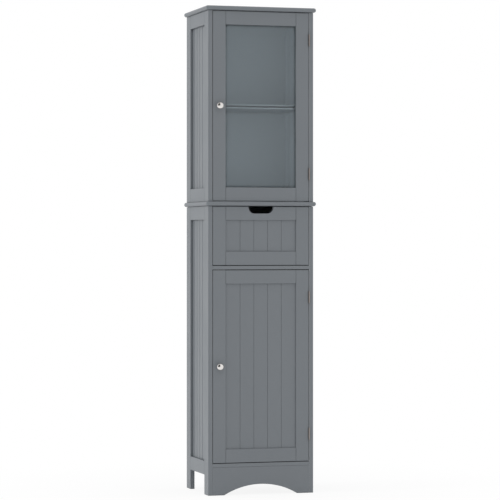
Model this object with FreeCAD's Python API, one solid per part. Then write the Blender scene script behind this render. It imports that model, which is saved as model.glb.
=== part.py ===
import FreeCAD, Part
import math
import os

from FreeCAD import Vector

# Tall bathroom cabinet. Millimetres: x to the right, y to the back, z up, floor at zero.
# The origin is under the middle of the cabinet, with the knobs counted in its depth.

# Overall
OVERALL_WIDTH = 400.0
OVERALL_DEPTH = 300.0
OVERALL_HEIGHT = 1700.0
WAIST_HEIGHT = 1020.5
BASE_HEIGHT = 110.0
DRAWER_OPENING = 208.5

# Horizontal boards: the top and waist boards overhang the sides and the front
BOARD_THICKNESS = 13.0
NOSED_BOARD_THICKNESS = 15.0
BOARD_OVERHANG = 9.0
NOSE_SHARE = 0.46

# Painted edges, cuts and glued joints
ARRIS = 1.0
OVERRUN = 2.0
JOINT_GAP = 0.1
SHOULDER_GAP = 0.4
FLATNESS = 1e-6

# Frame-and-panel sides, whose stiles run down as legs
SIDE_THICKNESS = 15.0
SIDE_STILE = 52.0
SIDE_RAIL = 47.5
SIDE_GROOVE_COUNT = 5
SIDE_GROOVE_PITCH = 36.0
LEG_CLEARANCE = 69.0
PANEL_THICKNESS = 5.0
PANEL_TONGUE = 6.0
PANEL_BACKSET = 1.0
TENON_SHOULDER = 5.0
SIDE_GROOVE_WIDTH = 5.0
SIDE_GROOVE_DEPTH = 2.0
GROOVE_FLOOR_SHARE = 0.5
SHADOW_LINE = 1.2
SHADOW_LINE_DEPTH = 4.0

# Apron with an arched lower edge
APRON_THICKNESS = 15.0
ARCH_WIDTH = 266.0
ARCH_RISE = 36.0

# Back panels and the rail that screws to the wall
BACK_THICKNESS = 4.0
BACK_REBATE = 7.0
UPPER_BACK_SCREW_SHARES = (0.08, 0.5, 0.92)
LOWER_BACK_SCREW_SHARES = (0.06, 0.35, 0.65, 0.94)
WALL_RAIL_HEIGHT = 60.0
WALL_RAIL_THICKNESS = 12.0
WALL_HOLE_RADIUS = 3.0
WALL_HOLE_SPACING = 240.0

# Shelves on pins, each with a groove along its front edge
SHELF_HEIGHT_SHARE = 0.5
SHELF_GROOVE_WIDTH = 7.0
SHELF_GROOVE_DEPTH = 10.0
SHELF_SIDE_GAP = 1.0
SHELF_BACK_GAP = 1.0
SHELF_FRONT_GAP = 2.6
PIN_RADIUS = 2.5
PIN_FIT = 0.05
PIN_DEPTH = 8.0
PIN_LEDGE_RADIUS = 4.5
PIN_LEDGE_LENGTH = 9.0
PIN_FLAT = 1.0
PIN_PITCH = 32.0
PIN_HOLE_COUNT = 5

# Dowels and cam fittings that hold the boards to the sides
DOWEL_RADIUS = 3.0
DOWEL_IN_SIDE = 9.0
DOWEL_IN_BOARD = 20.0
DOWEL_IN_TOP = 8.0
DOWEL_STILE_SHARE = 0.3
APRON_DOWEL_SHARES = (0.3, 0.8)
CAM_RADIUS = 6.0
CAM_SETBACK = 24.0
CAM_DEPTH_SHARE = 0.78
CAM_SLOT_WIDTH = 1.6
CAM_SLOT_DEPTH = 1.2
CAM_SLOT_SHARE = 0.7
BOLT_RADIUS = 2.2
BOLT_BITE = 7.0
BOLT_STILE_SHARE = 0.65
OVER_BOARD_BOLT_SHARES = (0.3, 0.7)
UNDER_BOARD_BOLT_SHARES = (0.15, 0.85)
DRAWER_BOLT_SHARES = (0.4, 0.8)

# Doors and drawer front
DOOR_THICKNESS = 15.0
DOOR_STILE = 46.5
DOOR_RAIL = 47.0
DOOR_END_GAP = 2.4
DOOR_PANEL_RECESS = 5.0
DOOR_GROOVE_COUNT = 4
DOOR_GROOVE_PITCH = 50.0
DOOR_GROOVE_WIDTH = 1.8
DOOR_GROOVE_DEPTH = 1.2
NOTCH_WIDTH = 90.0
NOTCH_DEPTH = 24.0
NOTCH_RADIUS_SHARE = 0.9

# Pane of the upper door, bedded in a rebate behind glazing beads
PANE_THICKNESS = 4.0
PANE_RECESS = 7.0
PANE_REBATE = 8.0
PANE_EDGE_GAP = 0.5
TENON_LENGTH = 12.0
TENON_THICKNESS_SHARE = 0.35

# Butt hinges
HINGE_HEIGHT = 40.0
HINGE_INSET = 95.0
LEAF_THICKNESS = 1.0
LEAF_WIDTH = 13.0
LEAF_MORTISE = 0.35
LEAF_GAP = 0.3
BARREL_RADIUS = 2.5
BARREL_STANDOFF = 0.4
HINGE_PIN_RADIUS = 1.2
HINGE_PIN_FIT = 0.05
HINGE_PIN_CAP = 1.2
HINGE_CAP_SHARE = 0.9
KNUCKLE_GAP = 0.3
MIDDLE_KNUCKLE_SHARE = 0.36
LEAF_SCREW_SHARE = 0.32

# Wood screws with countersunk heads and a cross slot
SCREW_RADIUS = 1.2
SCREW_HEAD_RADIUS = 2.4
SCREW_LENGTH = 10.0
SCREW_FIT = 0.05
SCREW_SLOT_SHARE = 0.22
SCREW_SLOT_DEPTH_SHARE = 0.5

# Knobs
KNOB_DIAMETER = 25.0
KNOB_PROJECTION = 25.0
KNOB_NECK_DIAMETER = 10.0
KNOB_BASE_DIAMETER = 15.0
KNOB_BASE_SHARE = 0.1
KNOB_NECK_SHARE = 0.36
KNOB_RIM_SHARE = 0.66
KNOB_SHOULDER_SHARE = 0.56
KNOB_FLARE_SHARE = 0.8
KNOB_SCREW_RADIUS = 2.0
KNOB_SCREW_HEAD_RADIUS = 4.0
KNOB_SCREW_HEAD = 2.4
KNOB_SCREW_BITE = 10.0

# Magnetic catches and strike plates
CATCH_LENGTH = 44.0
CATCH_DEPTH = 14.0
CATCH_HEIGHT = 12.0
CATCH_INSET = 6.0
CATCH_GAP = 0.3
CATCH_BITE = 7.0
CATCH_SCREW_SHARE = 0.36
MAGNET_LENGTH = 20.0
MAGNET_DEPTH = 8.0
MAGNET_HEIGHT = 6.0
STRIKE_LENGTH = 30.0
STRIKE_HEIGHT = 9.0
STRIKE_THICKNESS = 1.0
STRIKE_INSET = 1.0

# Drawer box
BOX_THICKNESS = 12.0
BOX_HEIGHT = 140.0
BOX_LENGTH = 250.0
BOX_BACK_INSET = 4.0
BOX_BOTTOM_THICKNESS = 4.0
BOX_BOTTOM_RISE = 12.0
BOX_BOTTOM_TONGUE = 5.0
FRONT_TONGUE_SHARE = 0.6
BOX_SCREW_SHARES = (0.3, 0.75)

# Roller runners: a channel on each cabinet side, a track on each drawer side
RUNNER_GAUGE = 1.0
RUNNER_LIFT = 10.0
RUNNER_LEDGE = 10.0
CHANNEL_SETBACK = 3.0
CHANNEL_END_INSET = 2.0
CHANNEL_HEADROOM = 1.5
RUNNER_SCREW_INSET = 12.0
TRACK_SCREW_SHARES = (0.25, 0.8)
TRACK_SCREW_LENGTH = 9.0
ROLLER_RADIUS = 6.0
ROLLER_WIDTH = 6.5
ROLLER_PLAY = 0.15
ROLLER_SIDE_GAP = 0.3
ROLLER_END = 2.0
AXLE_RADIUS = 2.0
AXLE_FIT = 0.06
AXLE_HEAD_RADIUS = 3.5
AXLE_HEAD = 0.8
AXLE_HEAD_CLEARANCE = 0.9

# Planes that follow from the sizes
HALF_WIDTH = OVERALL_WIDTH / 2 - BOARD_OVERHANG
INNER_HALF = HALF_WIDTH - SIDE_THICKNESS
CARCASS_DEPTH = OVERALL_DEPTH - BOARD_OVERHANG
BACK_Y = (CARCASS_DEPTH + KNOB_PROJECTION) / 2
FRONT_Y = BACK_Y - CARCASS_DEPTH
INSIDE_BACK_Y = BACK_Y - BACK_THICKNESS
DOOR_BACK_Y = FRONT_Y + DOOR_THICKNESS
SHELF_FRONT_Y = DOOR_BACK_Y + KNOB_SCREW_HEAD + SHELF_FRONT_GAP
TOP_UNDER = OVERALL_HEIGHT - NOSED_BOARD_THICKNESS
WAIST_UNDER = WAIST_HEIGHT - NOSED_BOARD_THICKNESS
DIVIDER_TOP = WAIST_UNDER - DRAWER_OPENING
DIVIDER_UNDER = DIVIDER_TOP - BOARD_THICKNESS
BASE_UNDER = BASE_HEIGHT - BOARD_THICKNESS
SIDE_PANEL_RECESS = SIDE_THICKNESS - PANEL_BACKSET - PANEL_THICKNESS

# Doors: the hinge leaves set the gap at their sides
DOOR_SIDE_GAP = 2 * (LEAF_THICKNESS - LEAF_MORTISE) + LEAF_GAP
DOOR_WIDTH = 2 * (INNER_HALF - DOOR_SIDE_GAP)
UPPER_DOOR_Z = (WAIST_HEIGHT + DOOR_END_GAP, TOP_UNDER - DOOR_END_GAP)
LOWER_DOOR_Z = (BASE_HEIGHT + DOOR_END_GAP, DIVIDER_UNDER - DOOR_END_GAP)
DRAWER_FRONT_Z = (DIVIDER_TOP + DOOR_END_GAP, WAIST_UNDER - DOOR_END_GAP)
KNOB_X = DOOR_STILE / 2 - DOOR_WIDTH / 2

# Hinge axis, shared by the two doors
HINGE_X = INNER_HALF - DOOR_SIDE_GAP / 2
HINGE_Y = FRONT_Y - BARREL_STANDOFF - BARREL_RADIUS

# Runner section, measured inwards from the inner face of a side
ROLLER_NEAR = RUNNER_GAUGE + AXLE_HEAD_CLEARANCE + AXLE_HEAD + ROLLER_SIDE_GAP
ROLLER_FAR = ROLLER_NEAR + ROLLER_WIDTH
TRACK_NEAR = ROLLER_FAR + ROLLER_SIDE_GAP + AXLE_HEAD + AXLE_HEAD_CLEARANCE
RUNNER_SPACE = TRACK_NEAR + RUNNER_GAUGE
CHANNEL_Z = DIVIDER_TOP + RUNNER_LIFT
ROLLER_Z = CHANNEL_Z + RUNNER_GAUGE + ROLLER_PLAY + ROLLER_RADIUS
TRACK_Z = ROLLER_Z + ROLLER_RADIUS + ROLLER_PLAY
CHANNEL_TOP = TRACK_Z + RUNNER_GAUGE + CHANNEL_HEADROOM
CHANNEL_FRONT_Y = DOOR_BACK_Y + CHANNEL_SETBACK
CABINET_ROLLER_Y = CHANNEL_FRONT_Y + ROLLER_END + ROLLER_RADIUS
DRAWER_ROLLER_Y = DOOR_BACK_Y + BOX_LENGTH - ROLLER_END - ROLLER_RADIUS

# Drawer box
BOX_HALF = INNER_HALF - RUNNER_SPACE
BOX_INNER_HALF = BOX_HALF - BOX_THICKNESS
BOX_Z = CHANNEL_Z + RUNNER_GAUGE
BOX_TOP = BOX_Z + BOX_HEIGHT
BOX_BACK_Y = DOOR_BACK_Y + BOX_LENGTH
BOX_BOTTOM_Z = BOX_Z + BOX_BOTTOM_RISE
BOX_FLOOR_Z = BOX_BOTTOM_Z + BOX_BOTTOM_THICKNESS

LEFT, RIGHT = -1, 1
SIDES = (("left", LEFT), ("right", RIGHT))
X_AXIS, Y_AXIS, Z_AXIS = Vector(1, 0, 0), Vector(0, 1, 0), Vector(0, 0, 1)

# Every node's solids, and the holes and slots that other pieces ask for in them
solids_of = {}
cuts_of = {}


def add(node, *solids):
    solids_of.setdefault(node, []).extend(solids)


def cut_later(node, tool):
    cuts_of.setdefault(node, []).append(tool)


def block(x, y, z):
    """Box between three (low, high) pairs."""
    return Part.makeBox(x[1] - x[0], y[1] - y[0], z[1] - z[0], Vector(x[0], y[0], z[0]))


def rod(radius, start, end):
    """Cylinder from one point to another."""
    span = end - start
    return Part.makeCylinder(radius, span.Length, start, span)


def mirrored(solid):
    """The same piece on the other side of the cabinet."""
    return solid.mirror(Vector(0, 0, 0), X_AXIS)


def spread(low, high, share):
    """Point part of the way from low to high."""
    return low + (high - low) * share


def widened(span, gap):
    return (span[0] - gap, span[1] + gap)


def ordered(one, other):
    return (min(one, other), max(one, other))


def rounded(solid, radius, *planes):
    """Rounds the edges that lie in the given planes, each an axis number and a level."""
    def lies_in(edge, axis, level):
        return all(abs(vertex.Point[axis] - level) < FLATNESS for vertex in edge.Vertexes)
    edges = [edge for edge in solid.Edges if any(lies_in(edge, *plane) for plane in planes)]
    return solid.makeFillet(radius, edges).Solids[0]


def one_solid(shape):
    return shape.removeSplitter().Solids[0]


def nosed_board(z):
    """Board over the whole width and depth, rounded at the front and the two ends."""
    x = (-OVERALL_WIDTH / 2, OVERALL_WIDTH / 2)
    front = FRONT_Y - BOARD_OVERHANG
    board = block(x, (front, BACK_Y), z)

    def at_back(edge):
        return all(abs(vertex.Point.y - BACK_Y) < FLATNESS for vertex in edge.Vertexes)

    def runs_to_back(edge):
        return any(abs(vertex.Point.y - BACK_Y) < FLATNESS for vertex in edge.Vertexes)

    def upright(edge):
        return abs(edge.Vertexes[0].Point.z - edge.Vertexes[-1].Point.z) > FLATNESS

    edges = [edge for edge in board.Edges
             if not at_back(edge) and not (upright(edge) and runs_to_back(edge))]
    return board.makeFillet(NOSED_BOARD_THICKNESS * NOSE_SHARE, edges).Solids[0]


def groove_cutter(x, face_y, z, width, depth):
    """Upright groove with leaning walls, cut from the face at face_y into the panel."""
    half, half_floor = width / 2, width * GROOVE_FLOOR_SHARE / 2
    outline = [Vector(x - half, face_y - OVERRUN, z[0]),
               Vector(x - half, face_y, z[0]),
               Vector(x - half_floor, face_y + depth, z[0]),
               Vector(x + half_floor, face_y + depth, z[0]),
               Vector(x + half, face_y, z[0]),
               Vector(x + half, face_y - OVERRUN, z[0])]
    face = Part.Face(Part.makePolygon(outline + outline[:1]))
    return face.extrude(Z_AXIS * (z[1] - z[0]))


def grooved_panel(x, y, z, count, pitch, width, depth):
    panel = block(x, y, z)
    first = sum(x) / 2 - pitch * (count - 1) / 2
    cutters = [groove_cutter(first + pitch * step, y[0], widened(z, OVERRUN), width, depth)
               for step in range(count)]
    return panel.cut(cutters).Solids[0]


def framed_panel(width, height, thickness, recess, stile, rail, leg, grooves, notch=None):
    """Grooved panel in a frame, with its show face at y zero and its lower left corner at the origin.

    The panel's tongue and the rails' stub tenons share one slot in each stile. grooves holds the
    panel's count, pitch, width and depth of groove.
    """
    y = (0, thickness)
    panel_y = (recess, recess + PANEL_THICKNESS)
    slot_y = widened(panel_y, JOINT_GAP)
    inside = (stile, width - stile)
    shoulders = widened(inside, -SHOULDER_GAP)
    slot_depth = PANEL_TONGUE + JOINT_GAP
    slot_z = (leg + TENON_SHOULDER, height - TENON_SHOULDER)

    stiles = []
    for x, slot_x in (((0, stile), (stile - slot_depth, stile + OVERRUN)),
                      ((width - stile, width), (width - stile - OVERRUN, width - stile + slot_depth))):
        post = rounded(block(x, y, (0, height)), ARRIS, (1, 0), (0, width), (0, 0))
        stiles.append(post.cut(block(slot_x, slot_y, slot_z)).Solids[0])

    rails = []
    low, high = (leg, leg + rail), (height - rail, height)
    for z, slot, tenon in ((low, (low[1] - slot_depth, low[1] + OVERRUN),
                            (low[0] + TENON_SHOULDER + JOINT_GAP, low[1] - slot_depth)),
                           (high, (high[0] - OVERRUN, high[0] + slot_depth),
                            (high[0] + slot_depth, high[1] - TENON_SHOULDER - JOINT_GAP))):
        core = block(shoulders, y, z)
        if notch and z is high:
            core = core.cut(notch).Solids[0]
        core = rounded(core, ARRIS, (1, 0))
        core = core.cut(block(widened(inside, OVERRUN), slot_y, slot))
        ends = (block((stile - PANEL_TONGUE, shoulders[0]), panel_y, tenon),
                block((shoulders[1], width - stile + PANEL_TONGUE), panel_y, tenon))
        rails.append(one_solid(core.multiFuse(ends)))

    panel = grooved_panel(widened(inside, PANEL_TONGUE), panel_y,
                          (low[1] - PANEL_TONGUE, high[0] + PANEL_TONGUE), *grooves)
    return {"stiles": stiles, "rails": rails, "panel": panel}


def move(shape, x, y, z):
    return shape.translated(Vector(x, y, z))


def onto_left_side(shape, z):
    """Turns a framed panel so that its show face is the cabinet's left side."""
    turned = shape.rotated(Vector(0, 0, 0), Z_AXIS, -90)
    return move(turned, -HALF_WIDTH, BACK_Y, z)


def screw(node, through, head, direction, length=SCREW_LENGTH):
    """Countersunk screw with its head flush at a point, and its hole in each node that it passes."""
    def form(gap):
        cone_height = SCREW_HEAD_RADIUS - SCREW_RADIUS
        cone = Part.makeCone(SCREW_HEAD_RADIUS + gap, SCREW_RADIUS + gap, cone_height, head, direction)
        return one_solid(cone.fuse(rod(SCREW_RADIUS + gap, head, head + direction * (length + gap))))

    add(node, slotted(form(0), head, direction, SCREW_HEAD_RADIUS))
    for other in through:
        cut_later(other, form(SCREW_FIT))


def slotted(solid, head, direction, radius):
    """Cuts a cross slot into a screw's head."""
    width = radius * SCREW_SLOT_SHARE
    depth = (SCREW_HEAD_RADIUS - SCREW_RADIUS) * SCREW_SLOT_DEPTH_SHARE
    reach = radius * (1 - SCREW_SLOT_SHARE)
    arms = []
    for arm in ((reach, width / 2), (width / 2, reach)):
        bar = block((-arm[0], arm[0]), (-arm[1], arm[1]), (-OVERRUN, depth))
        bar.Placement = FreeCAD.Placement(head, FreeCAD.Rotation(Z_AXIS, direction))
        arms.append(bar)
    return solid.cut(arms).Solids[0]


def dowel(start, end, nodes):
    add("carcass_dowels", rod(DOWEL_RADIUS, start, end))
    direction = (end - start).normalize()
    hole = rod(DOWEL_RADIUS + JOINT_GAP, start - direction * JOINT_GAP, end + direction * JOINT_GAP)
    for node in nodes:
        cut_later(node, hole)


def cam_joint(node, mouth, direction, face, face_direction, thickness, board, partner):
    """Cam in the face of a board, and the bolt that it draws out of the partner's face.

    mouth is where the bolt leaves the partner, direction points from there into the board, and
    face is the board's face over the bolt, seen along face_direction into the board.
    """
    centre = face + direction * CAM_SETBACK
    depth = thickness * CAM_DEPTH_SHARE
    tip = mouth + direction * CAM_SETBACK
    cam = rod(CAM_RADIUS, centre, centre + face_direction * depth)
    bolt = rod(BOLT_RADIUS, mouth - direction * BOLT_BITE, tip)
    bolt_hole = rod(BOLT_RADIUS + JOINT_GAP, mouth - direction * (BOLT_BITE + JOINT_GAP),
                    tip + direction * JOINT_GAP)
    half_slot = CAM_SLOT_WIDTH / 2
    reach = CAM_RADIUS * CAM_SLOT_SHARE
    slot = block((-reach, reach), (-half_slot, half_slot), (-OVERRUN, CAM_SLOT_DEPTH))
    slot.Placement = FreeCAD.Placement(centre, FreeCAD.Rotation(Z_AXIS, face_direction))
    add(node, cam.cut([bolt_hole, slot]).Solids[0], bolt)
    cut_later(board, bolt_hole)
    cut_later(board, rod(CAM_RADIUS + JOINT_GAP, centre - face_direction * OVERRUN,
                         centre + face_direction * (depth + JOINT_GAP)))
    cut_later(partner, bolt_hole)


def make_boards():
    add("top_board", nosed_board((TOP_UNDER, OVERALL_HEIGHT)))
    add("waist_board", nosed_board((WAIST_UNDER, WAIST_HEIGHT)))
    for node, z in (("drawer_divider", (DIVIDER_UNDER, DIVIDER_TOP)),
                    ("bottom_board", (BASE_UNDER, BASE_HEIGHT))):
        board = block((-INNER_HALF, INNER_HALF), (FRONT_Y, INSIDE_BACK_Y), z)
        add(node, rounded(board, ARRIS, (1, FRONT_Y)))


def make_apron():
    half = ARCH_WIDTH / 2
    radius = (half ** 2 + ARCH_RISE ** 2) / (2 * ARCH_RISE)
    y = (FRONT_Y, FRONT_Y + APRON_THICKNESS)
    centre = Vector(0, y[0] - OVERRUN, ARCH_RISE - radius)
    arch = Part.makeCylinder(radius, APRON_THICKNESS + 2 * OVERRUN, centre, Y_AXIS)
    apron = block((-INNER_HALF, INNER_HALF), y, (0, BASE_UNDER)).cut(arch).Solids[0]
    add("front_apron", rounded(apron, ARRIS, (1, FRONT_Y)))


def make_side_frames():
    """Upper and lower frames, with a shadow line under the board and a rebate for the back panel."""
    grooves = (SIDE_GROOVE_COUNT, SIDE_GROOVE_PITCH, SIDE_GROOVE_WIDTH, SIDE_GROOVE_DEPTH)
    for level, z, leg, rebate_z in (("upper", (WAIST_HEIGHT, TOP_UNDER), 0, (WAIST_HEIGHT, TOP_UNDER)),
                                    ("lower", (0, WAIST_UNDER), LEG_CLEARANCE, (BASE_UNDER, WAIST_UNDER))):
        frame = framed_panel(CARCASS_DEPTH, z[1] - z[0], SIDE_THICKNESS, SIDE_PANEL_RECESS, SIDE_STILE,
                             SIDE_RAIL, leg, grooves)
        panel = onto_left_side(frame["panel"], z[0])
        rebate = block((-INNER_HALF - BACK_REBATE, -INNER_HALF + OVERRUN),
                       (INSIDE_BACK_Y, BACK_Y + OVERRUN), rebate_z)
        line_z = (z[1] - SHADOW_LINE, z[1] + OVERRUN)
        side_line = block((-HALF_WIDTH - OVERRUN, -HALF_WIDTH + SHADOW_LINE_DEPTH),
                          widened((FRONT_Y, BACK_Y), OVERRUN), line_z)
        front_line = block(widened((-HALF_WIDTH, -INNER_HALF), OVERRUN),
                           (FRONT_Y - OVERRUN, FRONT_Y + SHADOW_LINE_DEPTH), line_z)
        stiles = [onto_left_side(stile, z[0]).cut([rebate, side_line, front_line]).Solids[0]
                  for stile in frame["stiles"]]
        rails = [onto_left_side(rail, z[0]).cut(side_line).Solids[0] for rail in frame["rails"]]
        add(f"{level}_left_stiles", *stiles)
        add(f"{level}_left_rails", *rails)
        add(f"{level}_left_panel", panel)
        add(f"{level}_right_stiles", *[mirrored(stile) for stile in stiles])
        add(f"{level}_right_rails", *[mirrored(rail) for rail in rails])
        add(f"{level}_right_panel", mirrored(panel))


def make_back():
    """Back panels in the rebates, and the rail that takes the wall screws."""
    half = INNER_HALF + BACK_REBATE
    for level, z, shares in (("upper", (WAIST_HEIGHT, TOP_UNDER), UPPER_BACK_SCREW_SHARES),
                             ("lower", (BASE_UNDER, WAIST_UNDER), LOWER_BACK_SCREW_SHARES)):
        panel = f"{level}_back_panel"
        add(panel, block((-half, half), (INSIDE_BACK_Y, BACK_Y), z))
        for side, sign in SIDES:
            for share in shares:
                head = Vector(sign * (INNER_HALF + BACK_REBATE / 2), BACK_Y, spread(*z, share))
                screw("carcass_screws", (panel, f"{level}_{side}_stiles"), head, -Y_AXIS)
    add("wall_rail", block((-INNER_HALF, INNER_HALF), (INSIDE_BACK_Y - WALL_RAIL_THICKNESS, INSIDE_BACK_Y),
                           (TOP_UNDER - WALL_RAIL_HEIGHT, TOP_UNDER)))
    for sign in (LEFT, RIGHT):
        place = Vector(sign * WALL_HOLE_SPACING / 2, BACK_Y + OVERRUN, TOP_UNDER - WALL_RAIL_HEIGHT / 2)
        reach = BACK_THICKNESS + WALL_RAIL_THICKNESS + 2 * OVERRUN
        hole = rod(WALL_HOLE_RADIUS, place, place - Y_AXIS * reach)
        cut_later("wall_rail", hole)
        cut_later("upper_back_panel", hole)


def make_shelves():
    """Shelves, the pins that carry them and the rows of pin holes."""
    half = INNER_HALF - SHELF_SIDE_GAP
    for level, cupboard_z in (("upper", (WAIST_HEIGHT, TOP_UNDER)), ("lower", (BASE_HEIGHT, DIVIDER_UNDER))):
        under = spread(*cupboard_z, SHELF_HEIGHT_SHARE) - BOARD_THICKNESS / 2
        shelf = block((-half, half), (SHELF_FRONT_Y, INSIDE_BACK_Y - SHELF_BACK_GAP),
                      (under, under + BOARD_THICKNESS))
        shelf = rounded(shelf, ARRIS, (1, SHELF_FRONT_Y))
        middle = under + BOARD_THICKNESS / 2
        groove = block(widened((-half, half), OVERRUN),
                       (SHELF_FRONT_Y - OVERRUN, SHELF_FRONT_Y + SHELF_GROOVE_DEPTH),
                       (middle - SHELF_GROOVE_WIDTH / 2, middle + SHELF_GROOVE_WIDTH / 2))
        add(f"{level}_shelf", shelf.cut(groove).Solids[0])
        axis_z = under - PIN_FLAT
        for side, sign in SIDES:
            for y in (FRONT_Y + SIDE_STILE / 2, BACK_Y - SIDE_STILE / 2):
                face = Vector(sign * INNER_HALF, y, axis_z)
                outward, inward = X_AXIS * sign, X_AXIS * -sign
                ledge = rod(PIN_LEDGE_RADIUS, face, face + inward * PIN_LEDGE_LENGTH)
                ledge_x = ordered(face.x, (face + inward * PIN_LEDGE_LENGTH).x)
                over = block(ledge_x, widened((y, y), PIN_LEDGE_RADIUS), (under, under + PIN_LEDGE_RADIUS))
                peg = rod(PIN_RADIUS, face, face + outward * PIN_DEPTH)
                add("shelf_pins", one_solid(ledge.cut(over).fuse(peg)))
                for step in range(PIN_HOLE_COUNT):
                    mouth = face + Z_AXIS * (PIN_PITCH * (step - (PIN_HOLE_COUNT - 1) / 2))
                    hole = rod(PIN_RADIUS + PIN_FIT, mouth + inward * OVERRUN, mouth + outward * PIN_DEPTH)
                    cut_later(f"{level}_{side}_stiles", hole)


def make_board_joints():
    """Dowels and cams between the boards and the sides."""
    middle = BOARD_THICKNESS / 2
    wood_x = HALF_WIDTH - SIDE_THICKNESS / 2
    for side, sign in SIDES:
        outward, inward = X_AXIS * sign, X_AXIS * -sign
        for edge, into in ((FRONT_Y, 1), (BACK_Y, -1)):
            dowel_y = edge + into * SIDE_STILE * DOWEL_STILE_SHARE
            bolt_y = edge + into * SIDE_STILE * BOLT_STILE_SHARE
            stile_y = edge + into * SIDE_STILE / 2
            for board, under in (("drawer_divider", DIVIDER_UNDER), ("bottom_board", BASE_UNDER)):
                stiles = f"lower_{side}_stiles"
                mouth = Vector(sign * INNER_HALF, dowel_y, under + middle)
                dowel(mouth + outward * DOWEL_IN_SIDE, mouth + inward * DOWEL_IN_BOARD, (board, stiles))
                mouth = Vector(sign * INNER_HALF, bolt_y, under + middle)
                cam_joint("cam_fittings", mouth, inward, Vector(mouth.x, bolt_y, under), Z_AXIS,
                          BOARD_THICKNESS, board, stiles)
            top = Vector(sign * wood_x, stile_y, TOP_UNDER)
            dowel(top + Z_AXIS * DOWEL_IN_TOP, top - Z_AXIS * DOWEL_IN_BOARD,
                  ("top_board", f"upper_{side}_stiles"))
            waist = Vector(sign * wood_x, stile_y, WAIST_UNDER)
            dowel(waist - Z_AXIS * DOWEL_IN_BOARD, waist + Z_AXIS * (NOSED_BOARD_THICKNESS + DOWEL_IN_BOARD),
                  ("waist_board", f"upper_{side}_stiles", f"lower_{side}_stiles"))
        for share in APRON_DOWEL_SHARES:
            mouth = Vector(sign * INNER_HALF, FRONT_Y + APRON_THICKNESS / 2, BASE_UNDER * share)
            dowel(mouth + outward * DOWEL_IN_SIDE, mouth + inward * DOWEL_IN_BOARD,
                  ("front_apron", f"lower_{side}_stiles"))
        make_rail_cams(side, sign)


def make_rail_cams(side, sign):
    """Cams in the side rails that draw the top and waist boards down and up."""
    rail_y = (FRONT_Y + SIDE_STILE, BACK_Y - SIDE_STILE)
    outward = X_AXIS * sign
    bolt_x = sign * (HALF_WIDTH - SIDE_THICKNESS / 2)
    joints = (("upper", "top_board", TOP_UNDER, -1, UNDER_BOARD_BOLT_SHARES),
              ("upper", "waist_board", WAIST_HEIGHT, 1, OVER_BOARD_BOLT_SHARES),
              ("lower", "waist_board", WAIST_UNDER, -1, UNDER_BOARD_BOLT_SHARES))
    for level, board, z, into, shares in joints:
        for share in shares:
            y = spread(*rail_y, share)
            cam_joint("cam_fittings", Vector(bolt_x, y, z), Z_AXIS * into, Vector(sign * INNER_HALF, y, z),
                      outward, SIDE_THICKNESS, f"{level}_{side}_rails", board)


def make_upper_door():
    """Glazed door: tenoned frame, pane in a rebate, glazing beads behind it."""
    height = UPPER_DOOR_Z[1] - UPPER_DOOR_Z[0]
    y = (0, DOOR_THICKNESS)
    inside_x = (DOOR_STILE, DOOR_WIDTH - DOOR_STILE)
    shoulders = widened(inside_x, -SHOULDER_GAP)
    inside_z = (DOOR_RAIL, height - DOOR_RAIL)
    rebate_x, rebate_z = widened(inside_x, PANE_REBATE), widened(inside_z, PANE_REBATE)
    rebate = block(rebate_x, (PANE_RECESS, DOOR_THICKNESS + OVERRUN), rebate_z)
    tenon_thickness = DOOR_THICKNESS * TENON_THICKNESS_SHARE
    tenon_y = ((DOOR_THICKNESS - tenon_thickness) / 2, (DOOR_THICKNESS + tenon_thickness) / 2)
    setback = TENON_SHOULDER + JOINT_GAP
    tenons_z = ((setback, rebate_z[0] - setback), (rebate_z[1] + setback, height - setback))

    mortises = [block(widened(inside_x, TENON_LENGTH + JOINT_GAP), widened(tenon_y, JOINT_GAP),
                      widened(z, JOINT_GAP)) for z in tenons_z]
    for node, x in (("upper_door_lock_stile", (0, DOOR_STILE)),
                    ("upper_door_hinge_stile", (DOOR_WIDTH - DOOR_STILE, DOOR_WIDTH))):
        stile = rounded(block(x, y, (0, height)), ARRIS, (1, 0))
        add(node, place_door(stile.cut([rebate] + mortises).Solids[0], UPPER_DOOR_Z))
    for rail_z, tenon_z in zip(((0, DOOR_RAIL), (height - DOOR_RAIL, height)), tenons_z):
        rail = rounded(block(shoulders, y, rail_z), ARRIS, (1, 0)).cut(rebate)
        ends = (block((DOOR_STILE - TENON_LENGTH, shoulders[0]), tenon_y, tenon_z),
                block((shoulders[1], inside_x[1] + TENON_LENGTH), tenon_y, tenon_z))
        add("upper_door_rails", place_door(one_solid(rail.multiFuse(ends)), UPPER_DOOR_Z))

    pane_y = (PANE_RECESS, PANE_RECESS + PANE_THICKNESS)
    pane = block(widened(rebate_x, -PANE_EDGE_GAP), pane_y, widened(rebate_z, -PANE_EDGE_GAP))
    add("upper_door_pane", place_door(pane, UPPER_DOOR_Z))
    bead_y = (pane_y[1], DOOR_THICKNESS)
    beads = [block((rebate_x[0], inside_x[0]), bead_y, rebate_z),
             block((inside_x[1], rebate_x[1]), bead_y, rebate_z),
             block(inside_x, bead_y, (rebate_z[0], inside_z[0])),
             block(inside_x, bead_y, (inside_z[1], rebate_z[1]))]
    add("upper_door_beads", *[place_door(bead, UPPER_DOOR_Z) for bead in beads])


def place_door(shape, z):
    return move(shape, -DOOR_WIDTH / 2, FRONT_Y, z[0])


def panelled_front(z, notch=None):
    grooves = (DOOR_GROOVE_COUNT, DOOR_GROOVE_PITCH, DOOR_GROOVE_WIDTH, DOOR_GROOVE_DEPTH)
    frame = framed_panel(DOOR_WIDTH, z[1] - z[0], DOOR_THICKNESS, DOOR_PANEL_RECESS, DOOR_STILE, DOOR_RAIL,
                         0, grooves, notch)
    return {"stiles": [place_door(stile, z) for stile in frame["stiles"]],
            "rails": [place_door(rail, z) for rail in frame["rails"]],
            "panel": place_door(frame["panel"], z)}


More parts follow.
